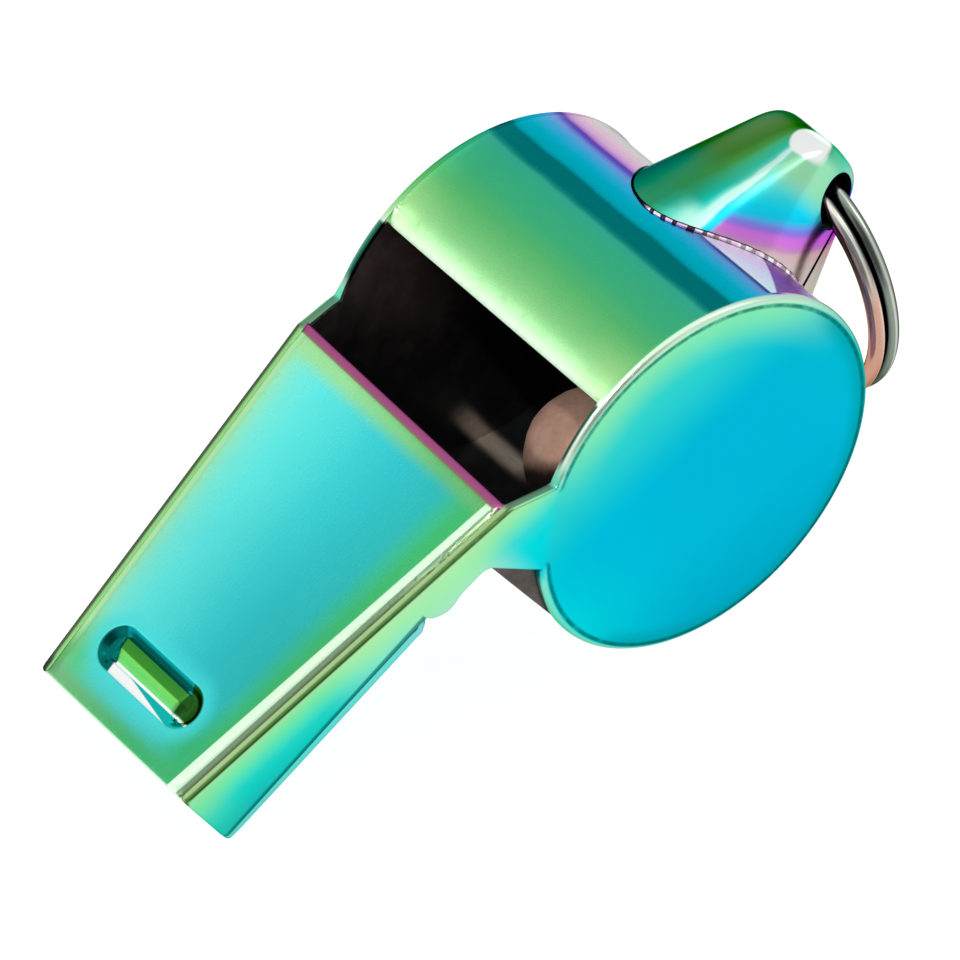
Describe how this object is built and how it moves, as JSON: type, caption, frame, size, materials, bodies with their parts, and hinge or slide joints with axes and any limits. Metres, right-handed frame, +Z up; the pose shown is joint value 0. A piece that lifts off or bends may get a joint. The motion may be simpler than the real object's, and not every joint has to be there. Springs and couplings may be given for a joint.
{
  "type": "signal whistle",
  "caption": "Pressed-sheet pea whistle with a round barrel, a tapering mouthpiece duct, a rolled hanger, a free split ring and a loose cork ball.",
  "frame": {"origin": "on the table under the middle of the whistle's length, where it stands on both disc rims and on the mouthpiece's lower tip", "axes": "+Z up, +X from the mouthpiece to the hanger, +Y along the barrel's axis to the left side plate"},
  "size_m": [0.0496, 0.02, 0.0226],
  "materials": {
    "plate_coat": "satin rainbow metal coat, cyan to green",
    "band_coat": "satin rainbow metal coat, green to violet",
    "top_coat": "satin rainbow metal coat, cyan with green borders",
    "floor_coat": "satin rainbow metal coat, teal",
    "bare_inner": "bare dull inner sheet",
    "lug_coat": "gloss rainbow metal coat, green to violet",
    "ring_steel": "polished spring wire",
    "cork": "matt cork"
  },
  "bodies": {
    "whistle": {"right_side_plate": "plate_coat", "left_side_plate": "plate_coat", "barrel_band": "band_coat", "mouthpiece_top": "top_coat", "windway_floor": "floor_coat", "throat_plate": "bare_inner", "ring_lug": "lug_coat"},
    "ring": {"split_ring": "ring_steel"},
    "pea": {"cork_pea": "cork"}
  },
  "joints": [
    {"name": "ring_swing", "type": "hinge", "parent": "whistle", "child": "ring", "pos_m": [0.02279, 0, 0.01835], "axis": [0, 1, 0], "range_deg": [-244, 14]},
    {"name": "pea_orbit", "type": "hinge", "parent": "whistle", "child": "pea", "pos_m": [0.00814, 0, 0.0113], "axis": [0, 1, 0], "continuous": true}
  ]
}
